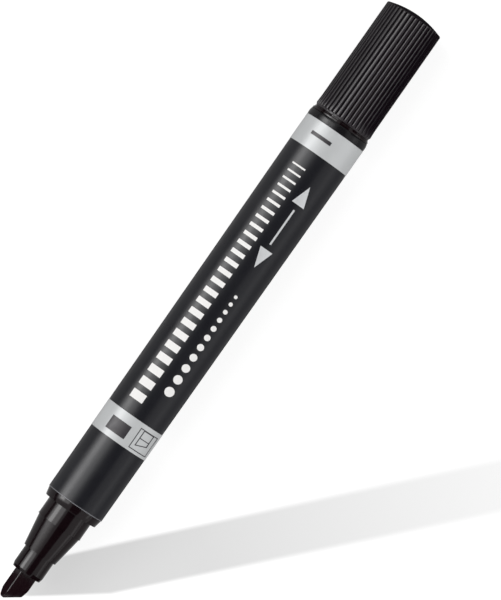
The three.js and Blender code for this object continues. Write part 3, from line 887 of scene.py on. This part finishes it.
def falling_row(start, end, widest, narrowest, gap):
    """[middle, width] for each mark of a row in which every mark is narrower than the one before."""
    row, reach = [], start
    while reach < end:
        share = (reach - start) / (end - start)
        width = widest + (narrowest - widest) * share
        row.append((reach + width / 2, width))
        reach += width + gap
    return row


stroke_row = falling_row(start=24.82, end=83.02, widest=1.9, narrowest=0.35, gap=1.35)
dot_row = falling_row(start=29.02, end=54.42, widest=2.1, narrowest=0.7, gap=1.0)
strokes = [flat_bar(middle, STROKES_Y, width, STROKE_LENGTH) for middle, width in stroke_row]
dots = [flat_round(middle, DOTS_Y, across) for middle, across in dot_row]
print(len(strokes), "stroke samples and", len(dots), "dots")
press_on("stroke_samples", strokes, film, white_ink, "printed_film")
press_on("dot_samples", dots, film, white_ink, "printed_film")

# %% Double arrow
ARROW_Y, HEAD_LENGTH, HEAD_WIDTH = -2.33, 4.45, 2.95
FINE_HEAD_BASE, BROAD_HEAD_BASE = 76.5, 65.35
# An even triangle on a circle 2 mm across is 1.5 mm long and root 3 mm wide before it is stretched.
head_stretch = (HEAD_LENGTH / 1.5, HEAD_WIDTH / math.sqrt(3))
arrow = []
for base, heading in ((FINE_HEAD_BASE, 1), (BROAD_HEAD_BASE, -1)):
    middle = base + heading * HEAD_LENGTH / 3
    heading_turn = -heading * math.pi / 2
    arrow.append(flat_round(middle, ARROW_Y, 2.0, sides=3, stretch=head_stretch, turn=heading_turn))
arrow.append(flat_bar(station=70.92, y=ARROW_Y, length=8.6, width=0.4))
press_on("double_arrow", arrow, film, silver_ink, "silver_foil")

# %% [markdown]
# The table is a large sheet of white paper. Its colour for the camera, and for the reflections in plastic and
# foil, is lifted with Light Path, so that the lit paper is white while the marker's own soft shadow stays.
# Three small helpers keep the node trees of paper and room short.

# %% White table
TABLE_SIZE, TABLE_DROP = 6, 0.00002
bpy.ops.object.select_all(action="DESELECT")
bpy.ops.mesh.primitive_plane_add(size=TABLE_SIZE, location=(0, 0, -TABLE_DROP))
table = bpy.context.active_object
table.name = "white_table"
print("table", TABLE_SIZE, "m wide")


# %% Helpers for the nodes of paper and room
def worked(tree, operation, *values):
    """A Math node on numbers and sockets."""
    step = tree.nodes.new("ShaderNodeMath")
    step.operation = operation
    for entry, value in zip(step.inputs, values):
        if isinstance(value, float):
            entry.default_value = value
        else:
            tree.links.new(value, entry)
    return step.outputs["Value"]


def ranged(tree, value, ends, levels, curve="LINEAR"):
    """Maps the value from the two ends, numbers or sockets, to the two levels."""
    span = tree.nodes.new("ShaderNodeMapRange")
    span.interpolation_type = curve
    tree.links.new(value, span.inputs["Value"])
    for title, end in zip(("From Min", "From Max"), ends):
        if isinstance(end, float):
            span.inputs[title].default_value = end
        else:
            tree.links.new(end, span.inputs[title])
    span.inputs["To Min"].default_value, span.inputs["To Max"].default_value = levels
    return span.outputs["Result"]


def seen_directly(tree):
    """1 for camera, glossy and transmission rays, 0 for the rays that only carry light."""
    path = tree.nodes.new("ShaderNodeLightPath").outputs
    glossy = worked(tree, "MAXIMUM", path["Is Camera Ray"], path["Is Glossy Ray"])
    return worked(tree, "MAXIMUM", glossy, path["Is Transmission Ray"])


# %% White paper
PAPER_LIFT = 0.80
paper = bpy.data.materials.new("white paper")
paper.use_nodes = True
tree = paper.node_tree
paper_shader = tree.nodes["Principled BSDF"]
paper_shader.inputs["Roughness"].default_value = 0.9
paper_shader.inputs["Specular IOR Level"].default_value = 0
paper_glow = worked(tree, "MULTIPLY", seen_directly(tree), PAPER_LIFT)
tree.links.new(paper_glow, paper_shader.inputs["Emission Strength"])
table.data.materials.append(paper)
print(paper.name, "glows by", PAPER_LIFT, "where it is seen")

# %% [markdown]
# In the photograph a second shadow, long and pale, starts at the nib and runs off to the right, as if the
# marker stood up there. A marker that lies down can't throw it, so it is drawn into the paper: a bar in the
# table's own Object coordinates, cut in on the near side at the nib, that fades along its length while its
# edges get softer. These coordinates are in metres, and so are the bar's measures.

# %% Pale shadow on the paper
PAPER_COLOUR, PAPER_GLOW = 0.28, 1.0
SHADOW_START, SHADOW_TURN = (-0.0717, 0.0001), math.radians(-42.9)
CUT_IN_LENGTH, CUT_IN_DEPTH = 0.0195, 0.0033
CORE_HALF_WIDTH, CORE_SPREAD = 0.0044, -0.002
RIM_HALF_WIDTH, RIM_SPREAD = 0.0050, 0.024
FIRST_REACH = (0.001, 0.003)
FADE_REACH, FADE_DEPTH = (0.04, 0.105), (0.345, 0.185)
spot = tree.nodes.new("ShaderNodeTexCoord")
from_nib = tree.nodes.new("ShaderNodeMapping")
from_nib.vector_type = "TEXTURE"
from_nib.inputs["Location"].default_value = (*SHADOW_START, 0)
from_nib.inputs["Rotation"].default_value = (0, 0, SHADOW_TURN)
split = tree.nodes.new("ShaderNodeSeparateXYZ")
tree.links.new(spot.outputs["Object"], from_nib.inputs["Vector"])
tree.links.new(from_nib.outputs["Vector"], split.inputs["Vector"])
reach, sideways = split.outputs["X"], split.outputs["Y"]
cut_in = ranged(tree, reach, (0.0, CUT_IN_LENGTH), (CUT_IN_DEPTH, 0.0))
near_side = worked(tree, "SUBTRACT", cut_in, sideways)
across = worked(tree, "MAXIMUM", sideways, near_side)
core = worked(tree, "MULTIPLY_ADD", reach, CORE_SPREAD, CORE_HALF_WIDTH)
rim = worked(tree, "MULTIPLY_ADD", reach, RIM_SPREAD, RIM_HALF_WIDTH)
bar = ranged(tree, across, (core, rim), (1, 0), "SMOOTHSTEP")
begin = ranged(tree, reach, FIRST_REACH, (0, 1), "SMOOTHSTEP")
depth = ranged(tree, reach, FADE_REACH, FADE_DEPTH)
shade = worked(tree, "MULTIPLY", worked(tree, "MULTIPLY", bar, begin), depth)
for title, level in (("Base Color", PAPER_COLOUR), ("Emission Color", PAPER_GLOW)):
    tone = tree.nodes.new("ShaderNodeMix")
    tone.data_type = "RGBA"
    tone.inputs["A"].default_value = (level, level, level, 1)
    tone.inputs["B"].default_value = (0, 0, 0, 1)
    tree.links.new(shade, tone.inputs["Factor"])
    tree.links.new(tone.outputs["Result"], paper_shader.inputs[title])
print("pale shadow turned", round(math.degrees(SHADOW_TURN), 1), "degrees from the marker")

# %% [markdown]
# Black plastic shows little but reflections, so the room is built from them. A large softbox on the left
# draws the long highlight, and a second one in front of it gives the highlight its brighter middle. That one
# is short: the nozzle's cone slopes, looks past the end of it and so stays darker than the straight parts. A
# strip lamp low on the right draws the faint second line. The fill lamp lights the print and the paper from
# the right and is not reflected, because its image would grey the black.

# %% Room and lamps
ROOM_LIGHT, ROOM_LIFT = 0.33, 0.22
world = bpy.data.worlds.new("white room")
bpy.context.scene.world = world
world.use_nodes = True
room_tree = world.node_tree
room = room_tree.nodes["Background"]
room.inputs["Color"].default_value = (1, 1, 1, 1)
room_strength = worked(room_tree, "MULTIPLY_ADD", seen_directly(room_tree), ROOM_LIFT, ROOM_LIGHT)
room_tree.links.new(room_strength, room.inputs["Strength"])


def toward(tilt, distance, along=0.0):
    """A place so far along the marker, at that distance from its axis, tilted from straight up towards +Y."""
    angle = math.radians(tilt)
    return (along, distance * math.sin(angle), AXIS_Z + distance * math.cos(angle))


def softbox(name, tilt, distance, length, breadth, radiance, reflected=True):
    """A lamp of that size in metres that faces the marker. Its radiance is how bright its face is."""
    lamp = bpy.data.lights.new(name, "AREA")
    lamp.shape = "RECTANGLE"
    lamp.size, lamp.size_y = length, breadth
    lamp.energy = radiance * math.pi * length * breadth
    holder = bpy.data.objects.new(name, lamp)
    bpy.context.collection.objects.link(holder)
    holder.location = toward(tilt, distance)
    holder.rotation_euler.x = -math.radians(tilt)
    holder.visible_glossy = reflected
    print(name, "gives", round(lamp.energy, 2), "W")


softbox("main softbox", tilt=44, distance=0.62, length=0.6, breadth=0.63, radiance=2.1)
softbox("softbox centre", tilt=51, distance=0.58, length=0.48, breadth=0.2, radiance=4.6)
softbox("fill lamp", tilt=-64, distance=0.6, length=0.7, breadth=0.5, radiance=3.2, reflected=False)
softbox("low strip lamp", tilt=-74, distance=0.6, length=0.6, breadth=0.09, radiance=0.65)

# %% [markdown]
# The cards are seen only in reflections. The big black ones give the dark core beside the highlight and the
# dark line on its other side. The flags stand close beside the ribs and the nib, which are darker than the
# barrel. White paper so near would turn the black edges milky, so the marker sees grey cards just above the
# paper, darker beside it than under it, and black ones past the cap and right under the barrel, where the
# grazing reflection is strongest. Their places and sizes are in metres, as the lamps' are.

# %% Cards
STRAIGHT_DOWN = 180


def card_paint(name, level):
    """A matt black that glows at the level at which the card is to be reflected."""
    paint = bpy.data.materials.new(name)
    paint.use_nodes = True
    sockets = paint.node_tree.nodes["Principled BSDF"].inputs
    sockets["Base Color"].default_value = (0.004, 0.004, 0.004, 1)
    sockets["Roughness"].default_value = 1
    sockets["Specular IOR Level"].default_value = 0
    sockets["Emission Color"].default_value = (1, 1, 1, 1)
    sockets["Emission Strength"].default_value = level
    return paint


card_black, card_grey = card_paint("card black", 0.0), card_paint("card grey", 0.45)
card_dim_left, card_dim_right = card_paint("card dim left", 0.36), card_paint("card dim right", 0.25)


def card(name, tilt, distance, length, breadth, paint=card_black, along=0.0, aside=0.0):
    """A sheet that faces the marker and that only reflections show."""
    bpy.ops.object.select_all(action="DESELECT")
    bpy.ops.mesh.primitive_plane_add(
        size=1, location=toward(tilt, distance, along), rotation=(-math.radians(tilt), 0, 0)
    )
    sheet = bpy.context.active_object
    sheet.name = name
    sheet.scale = (length, breadth, 1)
    sheet.location.y += aside
    sheet.visible_camera = sheet.visible_diffuse = sheet.visible_shadow = sheet.visible_transmission = False
    sheet.data.materials.append(paint)
    settle(sheet)


def lying_card(name, height, length, breadth, **more):
    """A card that lies at that height above the paper."""
    card(name, STRAIGHT_DOWN, AXIS_Z - height, length, breadth, **more)


card("overhead card", tilt=-15, distance=0.5, length=0.9, breadth=0.36)
card("low card", tilt=85, distance=0.5, length=0.9, breadth=0.15)
card("flag left of the cap", tilt=77, distance=0.0095, length=0.028, breadth=0.018, along=0.0615)
card("flag right of the cap", tilt=-77, distance=0.0095, length=0.028, breadth=0.016, along=0.0615)
card("flag left of the nib", tilt=90, distance=0.0095, length=0.0108, breadth=0.0135, along=-0.0737)
card("flag right of the nib", tilt=-80, distance=0.0095, length=0.0117, breadth=0.0165, along=-0.0733)
lying_card("table card", height=0.0003, length=0.4, breadth=0.3, paint=card_grey)
lying_card(
    "table card on the left", height=0.0004, length=0.4, breadth=0.3, paint=card_dim_left, aside=0.16
)
lying_card(
    "table card on the right", height=0.0004, length=0.4, breadth=0.3, paint=card_dim_right, aside=-0.16
)
lying_card("table card past the cap", height=0.0005, length=0.06, breadth=0.04, along=0.105)
lying_card("dark strip under the broad end", height=0.0005, length=0.0148, breadth=0.020, along=-0.0418)
lying_card("dark strip under the barrel", height=0.0005, length=0.0643, breadth=0.020, along=0.0053)
print("cards stand and lie round the marker")

# %% [markdown]
# The photograph looks straight down from about a metre, through a long lens, with the marker lying across the
# picture's diagonal. The camera therefore needs no tilt: only its turn about the vertical and its aim matter.

# %% Camera
AIM, CAMERA_HEIGHT = (0.005775, -0.00555), 1.0
LENS, CAMERA_TURN, FAR_LIMIT = 291, -55, 20
camera = bpy.data.objects.new("camera", bpy.data.cameras.new("camera"))
bpy.context.collection.objects.link(camera)
camera.data.lens = LENS
camera.data.clip_end = FAR_LIMIT
camera.location = (*AIM, AXIS_Z + CAMERA_HEIGHT)
camera.rotation_euler = (0, 0, math.radians(CAMERA_TURN))
bpy.context.scene.camera = camera
print("camera", CAMERA_HEIGHT, "m above the axis, turned", CAMERA_TURN, "degrees, lens", LENS, "mm")

# %% [markdown]
# The scene is shown as it is lit, so the view transform is Standard.

# %% View transform
bpy.context.scene.view_settings.view_transform = "Standard"
